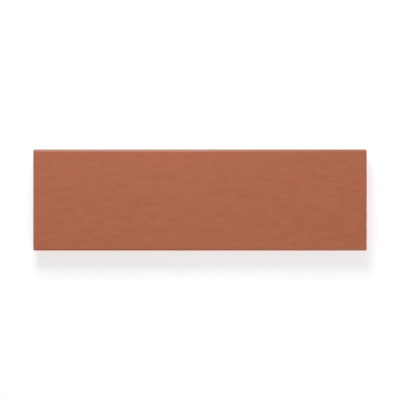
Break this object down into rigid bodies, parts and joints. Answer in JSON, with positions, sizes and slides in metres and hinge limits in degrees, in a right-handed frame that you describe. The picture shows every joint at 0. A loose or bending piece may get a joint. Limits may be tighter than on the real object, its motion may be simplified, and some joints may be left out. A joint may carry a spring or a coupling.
{
  "type": "ceramic cladding tile",
  "caption": "Extruded ceramic wall cladding tile with a flat matt terracotta face, eased arrises, square-cut ends and lengthwise dovetail grooves on its back for the mortar.",
  "frame": {"origin": "middle of the plane of the rib crests, the plane that the tile lies on or is bedded by", "axes": "+X along the length, which runs along the course; +Y up the wall; +Z out of the face"},
  "size_m": [0.24, 0.073, 0.014],
  "materials": {
    "fired_clay": "matte"
  },
  "bodies": {
    "root": {"cladding_tile": "fired_clay"}
  },
  "joints": []
}
